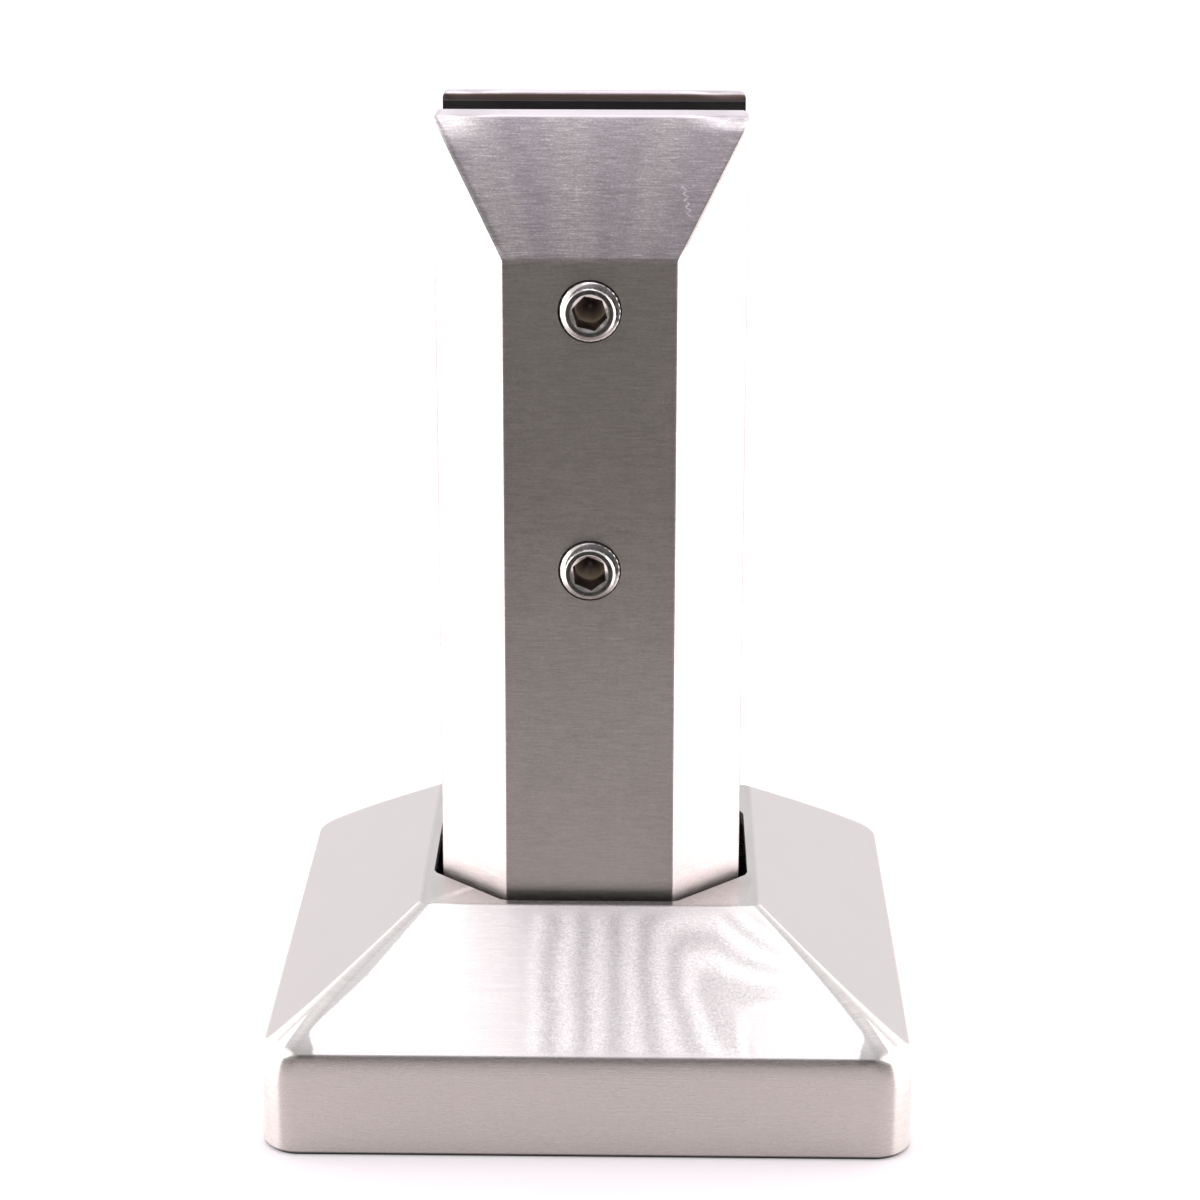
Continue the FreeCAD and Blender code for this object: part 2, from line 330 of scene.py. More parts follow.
class Shader:
    """A node tree with short ways to add to it."""

    def __init__(self, tree):
        self.tree = tree
        tree.nodes.clear()

    def plug(self, socket, value):
        """Links another node's output to a socket, or sets a plain value on it."""
        if isinstance(value, Value):
            self.tree.links.new(value.socket, socket)
        else:
            socket.default_value = value

    def node(self, kind, settings=(), **inputs):
        """One node with its settings, and its inputs by name with _ for a space."""
        node = self.tree.nodes.new("ShaderNode" + kind)
        for name, value in dict(settings).items():
            setattr(node, name, value)
        for name, value in inputs.items():
            self.plug(node.inputs[name.replace("_", " ")], value)
        return node

    def value(self, kind, settings=(), output=0, **inputs):
        """One output of a new node, by number or name."""
        return Value(self, self.node(kind, settings, **inputs).outputs[output])

    def math(self, operation, *values, kind="Math"):
        """One Math node, or one VectorMath node."""
        node = self.node(kind, {"operation": operation})
        for socket, value in zip(node.inputs, values):
            self.plug(socket, value)
        return Value(self, node.outputs[0])

    def parts(self, vector):
        """The x, y and z of a vector."""
        return [Value(self, socket) for socket in self.node("SeparateXYZ", Vector=vector).outputs]

    def place(self):
        """The object's own coordinates in millimetres, as a vector and as x, y and z."""
        metres = self.value("TexCoord", output="Object")
        where = self.math("MULTIPLY", metres, (1.0 / MM,) * 3, kind="VectorMath")
        return where, *self.parts(where)

    def attribute(self, name):
        """A number that the mesh carries at each point."""
        return self.value("Attribute", {"attribute_name": name}, output="Fac")

    def ray(self, kind):
        """1 for rays of one kind and 0 for others."""
        return self.value("LightPath", output=f"Is {kind} Ray")

    def blend(self, share, first, second, how="MIX"):
        """A colour that goes from first to second with share."""
        node = self.node("Mix", {"data_type": "RGBA", "blend_type": how})
        for number, value in ((0, share), (6, first), (7, second)):
            self.plug(node.inputs[number], value)
        return Value(self, node.outputs[2])

    def tone(self, colour, factor):
        """A colour multiplied by a grey or by another colour."""
        return self.blend(1.0, colour, factor, "MULTIPLY")

    def noise(self, where, size, detail=2.0):
        """Noise round 0.5, whose grains have the given length along x, y and z."""
        scale = tuple(1.0 / length for length in size)
        mapped = self.value("Mapping", {"vector_type": "POINT"}, Vector=where, Scale=scale)
        return self.value("TexNoise", Vector=mapped, Scale=1.0, Detail=detail)

    def relief(self, height, step=MICRON):
        """The normal of a surface that is raised by a height, counted in steps."""
        return self.value("Bump", Strength=1.0, Distance=step, Height=height)

    def brushing(self, noise):
        """The direction across horizontal brush lines, up the face, with a little wander."""
        return self.value("CombineXYZ", X=noise.ramp(0.3, 0.7, -0.01, 0.01), Y=0.04, Z=1.0)

    def surface(self, **inputs):
        """The tree's one surface shader, with its inputs by name."""
        self.node("OutputMaterial", Surface=self.value("BsdfPrincipled", **inputs))


def rgba(colour, times=1.0):
    """A colour property as four numbers."""
    return (colour[0] * times, colour[1] * times, colour[2] * times, 1.0)


def new_material(name):
    """An empty material and its tree."""
    material = bpy.data.materials.new(name)
    material.use_nodes = True
    return material, Shader(material.node_tree)


def dress(node_name, material):
    """Gives a CAD node its material."""
    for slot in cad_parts[node_name].material_slots:
        slot.material = material


def brush_lines(shader, where, length, width, streak):
    """Short brush marks and long brush lines along x and y, between 0 and 1."""
    short = shader.noise(where, (length, length, width))
    long = shader.noise(where, (streak, streak, 1.2 * width))
    return (short * 0.5 + long * 0.5).ramp(0.34, 0.66)


def lean_half(z):
    """Half the width of the leaning faces at a height: they spread upwards between the cut corners."""
    return (z - LEAN_FOOT).most(0.0) * LEAN_SPREAD + LEAN_FOOT_HALF


def lean_fans(shader, x, z):
    """Pale and dark bands that polishing left on the leaning faces, between 0 and 1: a cosine of x over the
    half width at that height, so that they spread upwards with the faces, with a phase that wanders, and
    noise."""
    pitch, fade = 0.66, 30.0
    share = x / lean_half(z)
    spread = shader.value("CombineXYZ", X=share, Y=0.0, Z=z)
    wander = shader.noise(spread, (0.6, 1.0, fade), 1.0).ramp(0.0, 1.0, 0.6, 1.0)
    bands = shader.noise(spread, (0.2, 1.0, fade), 1.0).ramp(0.3, 0.7)
    return ((share + wander) * (2.0 * math.pi / pitch)).wave() * 0.6 + bands * 0.4


def lean_crown(x, z):
    """Height in microns of the hand ground leaning faces: a low crown from their foot to their top, less a
    wear towards the ends of the top edge and along both sides, a little wider on the left."""
    crown_height, end_wear, side_wear = 330.0, 1300.0, 150.0
    share = z.ramp(LEAN_FOOT, POST_TOP)
    crown = share * (1.0 - share) * (4.0 * crown_height)
    worn_from = x.ramp(-1.0, 1.0, POST_TOP - 5.2, POST_TOP - 2.6)
    worn = z.ramp(worn_from, POST_TOP) * abs(x).ease(13.0, 23.0, 0.25, 1.0)
    inside = lean_half(z) - abs(x - 0.4)
    edge = inside.fall(0.0, 1.1) * z.ramp(LEAN_FOOT, LEAN_FOOT + 2.0)
    return crown - (worn * worn * end_wear + edge * edge * side_wear)


def post_scratches(shader, where, x, y, z):
    """Where the front of the post is scratched, between 0 and 1: a broken zigzag on the leaning face, which
    is a triangle wave of z about a slanting line, and one short level dash on the upright face."""
    foot, top, top_x, slant = 147.2, 152.0, 14.258, 0.21
    zig_height, zig_slope = 0.48, 1.4
    dash_x, dash_z = 4.2, 79.0
    line = (top - z) * slant + top_x
    off_line = abs(x - (z.math("PINGPONG", zig_height) * zig_slope + line))
    broken = shader.noise(where, (0.6,) * 3, 1.0).ramp(0.32, 0.46)
    zigzag = off_line.fall(0.08, 0.22) * broken * z.ramp(foot, foot + 0.3) * z.fall(top - 0.3, top)
    dash = abs(z - dash_z).fall(0.06, 0.16) * abs(x - dash_x).ramp(0.9, 1.5, 0.5, 0.0)
    return zigzag.most(dash) * y.fall(-12.0, -11.0)


def post_finish(steel):
    """Satin steel brushed across the post, with blasted steel below and inside and a milled slot."""
    material, shader = new_material("satin_steel_brushed")
    where, x, y, z = shader.place()
    grain = [size / MM for size in (steel.grain_length, steel.grain_width, steel.streak_length)]
    lines = brush_lines(shader, where, *grain)
    fibres = brush_lines(shader, where, 0.4, 0.16, 3.0)
    patches = shader.noise(where, (16.0, 16.0, 24.0))
    blast = shader.noise(where, (0.35,) * 3, 3.0)
    specks = shader.noise(where, (0.5, 0.5, 0.4), 1.0).ramp(0.71, 0.78)

    reach = abs(x).most(abs(y))
    plate = reach.ramp(POST_HALF + 0.4, POST_HALF + 1.4)
    hollow = reach.fall(CORE_HALF, CORE_HALF + 1.0) * z.fall(CORE_TOP - 2.0, CORE_TOP)
    rough_cast = plate.most(hollow)
    slot = abs(y - SLOT_MIDDLE).fall(SLOT_HALF - 0.05, SLOT_HALF) * z.ramp(SLOT_FLOOR, SLOT_FLOOR + 1.0)
    # Painted shade: the slot's walls darken to half towards its open ends.
    painted_slot_end_shade = abs(x).ease(14.0, 24.0, 1.0, 0.5)
    # Painted shade: the post's face darkens towards the cover's rim and just above it, where it mirrors the
    # dark gap round the opening.
    painted_rim_shade = z.fall(COVER_TOP - 0.8, COVER_TOP + 3.2)
    on_top = z.ramp(POST_TOP - 0.5, POST_TOP - 0.2)
    within = lean_half(z) - abs(x)
    leaning = z.ramp(LEAN_FOOT - 0.5, LEAN_FOOT + 0.5) * (1.0 - on_top) * within.ramp(-0.1, 0.3)
    upright = z.fall(LEAN_FOOT - 3.0, LEAN_FOOT - 1.0) * reach.ramp(POST_HALF - 0.4, POST_HALF - 0.1)

    fans = lean_fans(shader, x, z)
    sparkle = leaning * fibres.ramp(0.72, 1.0) * fans.ramp(0.2, 0.9, 0.3, 1.0)
    nicks = upright * specks * patches.ramp(0.45, 0.6) * 0.3
    bright = sparkle.most(nicks.most(post_scratches(shader, where, x, y, z)))
    at_edge = abs(x).ramp(LEAN_FOOT_HALF - 1.3, LEAN_FOOT_HALF)
    fringe = at_edge * z.ramp(LEAN_FOOT - 2.0, LEAN_FOOT, 0.5, 0.0)
    # Painted sheen: the post is made up to 14% lighter round 72 to 80 mm up, fading out by 42 mm and 104 mm,
    # standing in for a brighter reflection there.
    painted_mid_sheen = (z.ease_off(80.0, 104.0) * z.ease(42.0, 72.0)).ramp(0.0, 1.0, 1.0, 1.14)
    fan_tint = shader.blend(fans, (0.90, 0.86, 0.94, 1.0), (1.11, 1.10, 1.10, 1.0))
    fibre_tint = fibres.ramp(0.0, 1.0, 0.76, 1.23)
    tones = (
        shader.blend(fringe, WHITE, (0.98, 0.88, 0.96, 1.0)),
        patches.ramp(0.3, 0.7, 0.96, 1.03),
        painted_mid_sheen,
        shader.blend(leaning, WHITE, fan_tint),
        shader.blend(leaning, WHITE, fibre_tint),
    )
    colour = shader.blend(lines, rgba(steel.post_colour, 0.86), rgba(steel.post_colour, 1.13))
    colour = shader.blend(on_top, colour, (0.655, 0.605, 0.65, 1.0))
    for tone in tones:
        colour = shader.tone(colour, tone)
    colour = shader.blend(bright * 0.85, colour, WHITE)
    colour = shader.blend(slot, colour, shader.tone(rgba(steel.slot_colour), painted_slot_end_shade))
    colour = shader.blend(painted_rim_shade * 0.7, colour, rgba(steel.cast_colour, 0.4))
    colour = shader.blend(rough_cast, colour, rgba(steel.cast_colour))

    brushed = lines.ramp(0.0, 1.0, steel.post_roughness - 0.04, steel.post_roughness + 0.04)
    line_height = lines * on_top.ramp(0.0, 1.0, 2.0, 0.4)
    fibre_height = fibres * leaning * 2.0
    blast_height = blast * rough_cast * 60.0
    height = line_height + fibre_height + blast_height + lean_crown(x, z)
    shader.surface(
        Base_Color=colour, Metallic=1.0, Roughness=brushed + rough_cast * 0.24, Anisotropic=0.85,
        Tangent=shader.brushing(patches), Normal=shader.relief(height))
    return material


def polish_waves(shader, x, y, z, where, steel):
    """Bands that hand polishing left on the front and back slopes, between 0 and 1, and where they show.

    A band is a cosine of the way to a curl. The way is the fourth root of two fourth powers: of the
    distance across to a line through the curl that bends to the right downwards, for points to its left,
    and of the height over or under the curl, which counts more the further to the right. The way wanders,
    and the curl itself is plain.
    """
    curl_x, curl_z, curl_size, first_light, wandering = 20.6, 24.2, 1.4, 3.9, 2.4
    over = z - curl_z
    above, below = over.most(0.0), (-over).most(0.0)
    past = x - (below * x.ramp(2.0, 18.0, 0.0, 0.6) + curl_x)
    left, right = (-past).most(0.0), past.most(0.0)
    height = above * (right * 0.13 + 1.1) + below * (right * 0.3 + 0.35)
    wander = shader.noise(where, (14.0, 14.0, 9.0), 1.0) - 0.5
    way = wander * wandering + (left ** 4.0 + height ** 4.0) ** 0.25
    phase = (way.most(curl_size) - first_light) * (2.0 * math.pi * MM / steel.ripple_pitch)
    ahead = abs(y) - abs(x)
    on_slope = z.ease(SKIRT_TOP, SKIRT_TOP + 1.4) * z.ease_off(COVER_TOP - 1.8, COVER_TOP - 0.2)
    across = ahead.ease(0.0, 4.0) * x.ease(-12.0, -6.5) * x.ease_off(27.0, 34.0)
    not_below_right = z.ramp(22.4, 23.4).most(past.fall(1.0, 4.0))
    return phase.wave(), on_slope * across * not_below_right


def hip_band(x, y, z, lines):
    """A band along each hip on the front and back slopes, which polishing along the hip left, between 0 and
    1. It grows downwards and once more at its foot, and is wider on the left. Brush lines fray it a little.
    Then the dome at the foot of the hip, which the band keeps clear of."""
    ahead = abs(y) - abs(x)
    plain = z.ramp(SKIRT_TOP, COVER_TOP, 5.0, 0.8)
    extra = x.ramp(-1.0, 1.0, 1.8, 0.0) * z.ramp(20.0, 26.0)
    foot = z.ease(SKIRT_TOP, SKIRT_TOP + 3.4, 4.2, 0.0)
    frayed = (lines - 0.5) * 0.3 + (plain + extra + foot)
    corner = z.ease(SKIRT_TOP, SKIRT_TOP + 5.3, 2.0, 0.0)
    band = (frayed - ahead).ease(0.0, 1.1) * (ahead - corner).ramp(0.0, 1.4)
    from_hip = ahead.most(ahead * -4.0)
    dome = (from_hip - corner).ease_off(-0.5, 0.4) * z.fall(SKIRT_TOP + 3.3, SKIRT_TOP + 5.3)
    return (band * z.ramp(SKIRT_TOP - 0.6, SKIRT_TOP + 0.2),
            dome * z.ramp(SKIRT_TOP - 0.4, SKIRT_TOP + 0.4))


def cover_finish(steel):
    """Fine satin steel on the cover, polished by hand on its front and back slopes, with a painted shadow
    line round its foot. The bands along the hips lean outwards, and the domes outwards and down."""
    band_lean, dome_lean = 0.19, 0.35
    material, shader = new_material("cover_steel_polished")
    where, x, y, z = shader.place()
    patches = shader.noise(where, (14.0, 14.0, 12.0))
    glitter = shader.noise(where, (0.4, 0.4, 0.2))
    side_slope = (abs(x) - abs(y)).ramp(-1.0, 2.0) * z.ramp(SKIRT_TOP - 0.7, SKIRT_TOP + 0.8)
    brushed = brush_lines(shader, where, 2.5, 0.2, 12.0)
    soft = shader.noise(where, (0.8,) * 3, 1.0).ramp(0.2, 0.8, 0.4, 0.6)
    lines = shader.blend(side_slope, brushed, soft)
    wave, inside = polish_waves(shader, x, y, z, where, steel)
    hips, domes = hip_band(x, y, z, lines)

    tint = shader.blend(lines, rgba(steel.cover_colour, 0.95), rgba(steel.cover_colour, 1.05))
    cloudy = shader.blend(patches.ramp(0.3, 0.7, 0.0, 0.12), tint, rgba(steel.cover_colour, 0.88))
    polish = wave.ramp(0.0, 1.0, 0.86, 1.15) * glitter.ramp(0.3, 0.7, 0.84, 1.18)
    banded = shader.blend(inside, cloudy, shader.tone(cloudy, polish))
    hip_foot = hips * z.fall(SKIRT_TOP + 0.2, SKIRT_TOP + 2.6)
    shaded = z.ramp(COVER_TOP - 0.14, COVER_TOP - 0.02, 1.0, 0.74) * hip_foot.ramp(0.0, 1.0, 1.0, 0.64)
    # Painted shadow: the foot chamfer, below 0.8 mm, is nearly black.
    painted_foot_shadow = z.fall(0.5, 0.8)
    colour = shader.blend(painted_foot_shadow, shader.tone(banded, shaded), rgba(steel.cover_colour, 0.06))

    height = lines * 0.5 + wave * inside * (steel.ripple_height / MICRON)
    outwards = (hips * band_lean + domes * dome_lean) * x.math("SIGN")
    lean = shader.value("CombineXYZ", X=outwards, Y=0.0, Z=domes * -dome_lean)
    leaning = shader.math("ADD", shader.relief(height), lean, kind="VectorMath")
    shader.surface(
        Base_Color=colour, Metallic=1.0, Anisotropic=0.9, Tangent=shader.brushing(patches),
        Roughness=lines.ramp(0.0, 1.0, steel.cover_roughness - 0.03, steel.cover_roughness + 0.03),
        Normal=shader.math("NORMALIZE", leaning, kind="VectorMath"))
    return material


def screw_finish(screws):
    """Bright turned steel with fine rings round the axis, with painted shade on the end and in the thread's
    grooves, and painted shade and a tan highlight inside the socket.
    """
    material, shader = new_material("screw_steel_bright")
    radius = shader.attribute("turned_radius") * (1.0 / MM)
    socket = shader.attribute("socket")
    grooved = shader.attribute("grooved")
    where = shader.place()[0]
    rings = shader.value("TexNoise", {"noise_dimensions": "1D"}, W=radius, Scale=9.0, Detail=2.0)
    marks = shader.noise(where, (0.6,) * 3, 3.0)
    on_end = radius.ramp(3.10, 3.20) * radius.fall(3.62, 3.74)
    # Painted shade and reflection: the flat end ring and the thread's grooves are darkened, unevenly with the
    # marks.
    painted_end_and_groove_shade = on_end.most(grooved) * marks.ramp(0.35, 0.65, 1.0, 0.7)
    tint = shader.blend(rings, rgba(screws.colour, 0.94), rgba(screws.colour, 1.04))
    tint = shader.tone(tint, shader.blend(painted_end_and_groove_shade, WHITE, (0.22, 0.22, 0.27, 1.0)))
    # Inside the socket, painted shade: darkest at the middle of its cone and darker on the walls, with a
    # painted tan highlight round the cone's edge.
    floor = shader.blend(radius.ramp(0.7, 2.1), (0.10, 0.08, 0.08, 1.0), (0.52, 0.43, 0.29, 1.0))
    painted_socket_shade = shader.blend(radius.ramp(2.42, 2.48), floor, (0.24, 0.19, 0.19, 1.0))
    rough = marks.ramp(0.3, 0.7, screws.roughness - 0.04, screws.roughness + 0.06)
    shader.surface(
        Base_Color=shader.blend(socket * 0.8, tint, painted_socket_shade), Metallic=1.0, Roughness=rough + socket * 0.16,
        Normal=shader.relief(rings + marks * 3.0))
    return material


def plate_finish(clamp):
    """Plain rolled steel of the pressure plate, with a faint cross grain."""
    material, shader = new_material("plate_steel_rolled")
    where = shader.place()[0]
    rolled = shader.noise(where, (12.0, 2.0, 0.3), 3.0)
    spots = shader.noise(where, (4.0,) * 3, 3.0)
    plate = clamp.plate_colour
    tint = shader.blend(rolled.ramp(0.3, 0.7), rgba(plate, 0.9), rgba(plate, 1.06))
    colour = shader.blend(spots.ramp(0.5, 0.8, 0.0, 0.4), tint, rgba(plate, 0.7))
    shader.surface(
        Base_Color=colour, Metallic=1.0, Roughness=spots.ramp(0.3, 0.7, 0.34, 0.5),
        Normal=shader.relief(rolled * 2.0))
    return material


def rubber_finish(clamp):
    """Matt black rubber with a fine moulded grain and a pale bloom in patches."""
    material, shader = new_material("black_rubber_moulded")
    where = shader.place()[0]
    grain = shader.noise(where, (clamp.rubber_grain / MM,) * 3, 4.0)
    bloom = shader.noise(where, (7.0, 7.0, 3.0), 4.0)
    pale = bloom.ramp(0.42, 0.75, 0.0, 0.8)
    shader.surface(
        Base_Color=shader.blend(pale, rgba(clamp.rubber_colour), rgba(clamp.rubber_bloom)),
        Roughness=bloom.ramp(0.3, 0.7, 0.55, 0.8), Specular_IOR_Level=0.35,
        Normal=shader.relief(grain, 20.0 * MICRON))
    return material


def stretch(start, end, steps):
    """Rows of a grid from one ring to another, in steps that are shorter towards both ends."""
    share = (0.5 - 0.5 * np.cos(np.linspace(0.0, math.pi, steps)))[:, None, None]
    return start * (1.0 - share) + end * share


def bend(start, corner, end, steps):
    """Rows of a grid that set out from one ring towards a corner ring and swing round into another, as
    parabolas."""
    share = np.linspace(0.0, 1.0, steps)[:, None, None]
    return start * (1.0 - share) ** 2 + corner * 2.0 * share * (1.0 - share) + end * share ** 2


def square_columns(side_steps, arc_steps):
    """Columns of a grid round a square with rounded corners, counter-clockwise from the front left corner.

    A column has a place on a square of half width 1 and an outward direction. The place moves along a side
    while the direction stands still, and stands still in a corner while the direction turns by a quarter.
    """
    along = -np.cos(np.linspace(0.0, math.pi, side_steps, endpoint=False))
    turn = np.linspace(0.0, math.pi / 2.0, arc_steps, endpoint=False)
    side = np.concatenate((along + 0j, np.ones(arc_steps))) - 1j
    facing = np.concatenate((np.full(side_steps, -1j), np.sin(turn) - 1j * np.cos(turn)))
    quarters = 1j ** np.arange(4)[:, None]
    return (quarters * side).ravel(), (quarters * facing).ravel()


def cover_rows(cover, half, top):
    """Points of the hollow cover on a grid of closed rings, from the rim outwards, down the slope and the
    skirt, in under the foot, up inside and back to the rim.

    A ring is a square with rounded corners: its half width less its corner radius times the column's place,
    plus the corner radius times the column's direction. From the rim to the skirt the half width and the
    height change in step, which makes four flat slopes. The hips grow blunter towards their foot, from the
    rim's corner radius to the skirt's, with the third power of the way down. The crease is a parabola
    between slope and skirt, which reaches further with the product of both parts of the column's direction,
    so that a hip ends in a dome.
    """
    place, facing = square_columns(side_steps=44, arc_steps=28)
    skirt, wall, foot = cover.skirt_height, cover.wall, cover.foot_chamfer
    corner, rim_corner = cover.corner_radius, cover.rim_corner_radius

    def level(flat, height):
        return np.stack((flat.real, flat.imag, height + 0.0 * flat.real), axis=-2)

    def ring(half_width, radius, height):
        return level((half_width - radius) * place + radius * facing, height)

    def octagon(height):
        flat = (cover.rim_half - rim_corner) * place + rim_corner * facing
        x, y = np.abs(flat.real), np.abs(flat.imag)
        sides = cover.opening_half / np.maximum(x, y)
        cuts = (2.0 * cover.opening_half - cover.opening_cut) / (x + y)
        return level(flat * np.minimum(sides, cuts), height)

    run, rise = half - cover.rim_half, top - skirt
    slope = math.atan2(rise, run)
    length = math.hypot(rise, run)

    def on_slope(share):
        radius = rim_corner + (corner - rim_corner) * (1.0 - share) ** 3
        return ring(half - run * share, radius, skirt + rise * share)

    at_corner = 2.0 * np.abs(facing.real * facing.imag)
    half_turn_tan = math.tan(math.pi / 4.0 - slope / 2.0)
    reach = cover.crease_radius * half_turn_tan * (1.0 + (cover.corner_blend - 1.0) * at_corner)
    edge = cover.rim_edge_radius * math.tan(slope / 2.0)
    rim_start = ring(cover.rim_half - edge, rim_corner, top)
    slopes = on_slope(stretch(np.array([[1.0 - edge / length]]), reach[None] / length, 28)[:, 0])
    crease = ring(half, corner, skirt)
    crease_end = ring(half, corner, skirt - reach - cover.crease_fade)
    skirt_foot = ring(half, corner, foot)
    foot_edge = ring(half - foot, corner - foot, 0.0)
    inner_radius = corner - wall
    inner_half, inner_top = half - wall, top - wall
    inner_skirt = skirt - wall * half_turn_tan
    inner_rim = inner_half - (inner_top - inner_skirt) / math.tan(slope)
    inner_foot = ring(inner_half, inner_radius, 0.0)
    inner_crease = ring(inner_half, inner_radius, inner_skirt)
    inner_edge = ring(inner_rim, rim_corner, inner_top)
    stretches = (
        stretch(octagon(top), rim_start, 4),
        bend(rim_start, on_slope(1.0), slopes[0], 6),
        slopes,
        bend(slopes[-1], crease, crease_end, 14),
        stretch(crease_end, skirt_foot, 10),
        stretch(skirt_foot, foot_edge, 3),
        stretch(foot_edge, inner_foot, 3),
        stretch(inner_foot, inner_crease, 5),
        stretch(inner_crease, inner_edge, 8),
        stretch(inner_edge, octagon(inner_top), 3),
        stretch(octagon(inner_top), octagon(top), 3),
    )
    return np.moveaxis(np.concatenate([rows[:-1] for rows in stretches]), 1, -1)


def screw_radii(screws):
    """Radius of the thread's worn crest, and of the end face inside its chamfer."""
    crest = screws.diameter / 2.0 - screws.crest_wear
    return crest, crest - screws.end_chamfer


def set_screw_grid(screws, length, start):
    """Radius and depth of one set screw on a grid of profile step by angle, with the angle counted from a
    corner of the hexagon, counter-clockwise as seen from in front.

    The profile runs from the socket's cone up the wall of the hexagon, whose radius is half its width over
    the cosine of the angle from the middle of a side, out over the countersink and the end, along the
    thread and in over the tip. The thread's radius is the crest's, less its depth times a trapezium wave of
    the depth over the pitch plus the share of a turn from its start, and never more than the chamfer cones
    at both ends leave.
    """
    crest_share, flank_share = 0.125, 0.625
    first, fine, coarse, tip_edge = 0.04 * MM, 3.0 * MM, 3.1 * MM, 0.3 * MM
    angle = np.linspace(0.0, 2.0 * math.pi, 144, endpoint=False)

    def ring(radius, depth):
        return np.stack((radius + 0.0 * angle, depth + 0.0 * angle))

    flats = screws.across_flats / 2.0
    hexagon = flats / np.cos(np.mod(angle, math.pi / 3.0) - math.pi / 6.0)
    cone_slope = math.tan(math.radians(30.0))
    bore = 0.97 * flats
    mouth = screws.mouth_diameter / 2.0
    crest, end = screw_radii(screws)
    tip = screws.tip_diameter / 2.0
    shoulder = length - screws.tip_length
    lip = (mouth - hexagon) * cone_slope
    floor = screws.socket_depth
    cone_tip = floor + bore * cone_slope
    socket = np.concatenate((
        stretch(ring(0.2 * bore, cone_tip - 0.2 * bore * cone_slope), ring(bore, floor), 5),
        stretch(ring(hexagon, floor), ring(hexagon, lip), 8)))
    face = np.concatenate((
        stretch(ring(hexagon, lip), ring(mouth, 0.0), 4)[1:],
        stretch(ring(mouth, 0.0), ring(end, 0.0), 4)[1:]))
    steps = np.concatenate((np.linspace(first, fine, 60), np.linspace(coarse, shoulder, 170)))
    depth = steps[:, None] + 0.0 * angle
    turn = depth / screws.pitch + angle / (2.0 * math.pi) + start
    wave = np.abs(2.0 * np.mod(turn, 1.0) - 1.0)
    groove = np.clip((wave - crest_share) / flank_share, 0.0, 1.0)
    chamfers = np.minimum(end + depth, end + (shoulder - depth))
    thread = np.stack((np.minimum(crest - screws.thread_depth * groove, chamfers), depth), axis=1)
    point = np.concatenate((
        stretch(ring(tip, shoulder), ring(tip, length - tip_edge), 4),
        stretch(ring(tip - tip_edge, length), ring(0.3 * tip, length), 4)))
    rows = np.concatenate((socket, face, thread, point))
    return angle, rows[:, 0], rows[:, 1], len(socket), cone_tip


def closed_surface(name, rows, poles=None):
    """A mesh object from rows of points that close on themselves. The last row joins the first, or each end
    row is closed by a fan to its pole.

    The four corners of a face are row i and column j, row i + 1 and column j, and the same in column j + 1,
    so faces point outwards where columns turn counter-clockwise and rows go away from the eye.
    """
    columns = rows.shape[1]
    points = rows.reshape(-1, 3)
    index = np.arange(len(points)).reshape(-1, columns)
    lower = index[:-1] if poles else index
    upper = index[1:] if poles else np.roll(index, -1, axis=0)
    quads = np.stack((lower, upper, np.roll(upper, -1, axis=1), np.roll(lower, -1, axis=1)), axis=-1)
    faces = quads.reshape(-1, 4).tolist()
    if poles:
        first = np.full(columns, len(points))
        faces += np.stack((first, index[0], np.roll(index[0], -1)), axis=-1).tolist()
        faces += np.stack((index[-1], first + 1, np.roll(index[-1], -1)), axis=-1).tolist()
        points = np.concatenate((points, poles))
    mesh = bpy.data.meshes.new(name)
    mesh.from_pydata(points.tolist(), [], faces)
    mesh.shade_smooth()
    mesh.set_sharp_from_angle(angle=SHARP_ANGLE)
    piece = bpy.data.objects.new(name, mesh)
    bpy.context.scene.collection.objects.link(piece)
    return piece


def make_cover(cover, material):
    """The base cover in the place of its CAD node, with softly rounded corners."""
    low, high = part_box("base_cover")
    rows = cover_rows(cover, (high.x - low.x) / 2.0, high.z)
    piece = closed_surface("base_cover_pressed", rows)
    piece.data.materials.append(material)
    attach(piece, "cover")
    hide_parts("base_cover")


def make_set_screw(node_name, screws, turn, start, material):
    """One set screw in the place of its CAD node: the grid turned so that a corner of the hexagon is turn
    to the left of straight up, with the screw's axis along y through the middle of the node. The mesh
    carries what its finish goes by: the radius, whether a point is in the socket and how far down in the
    thread's groove."""
    low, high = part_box(node_name)
    angle, radius, depth, socket_rows, cone_tip = set_screw_grid(screws, high.y - low.y, start)
    around = angle + math.pi / 2.0 + turn
    middle_x = (low.x + high.x) / 2.0
    middle_z = (low.z + high.z) / 2.0
    rows = np.stack(
        (middle_x + radius * np.cos(around), low.y + depth, middle_z + radius * np.sin(around)), axis=-1)
    poles = ((middle_x, low.y + cone_tip, middle_z), (middle_x, high.y, middle_z))
    piece = closed_surface(node_name + "_threaded", rows, poles)
    in_socket = (np.arange(len(radius)) < socket_rows)[:, None] + 0.0 * radius
    crest, end = screw_radii(screws)
    under_crest = (np.minimum(crest, end + depth) - radius) / (0.6 * screws.thread_depth)
    grooved = np.clip(under_crest, 0.0, 1.0) * (radius > end)
    carried = (("turned_radius", radius, 0.0), ("socket", in_socket, 1.0), ("grooved", grooved, 0.0))
    for name, on_grid, at_cone in carried:
        attribute = piece.data.attributes.new(name, "FLOAT", "POINT")
        attribute.data.foreach_set("value", np.append(on_grid.ravel(), (at_cone, 0.0)).astype(np.float32))
    piece.data.materials.append(material)
    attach(piece, SCREWS[node_name])
    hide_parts(node_name)


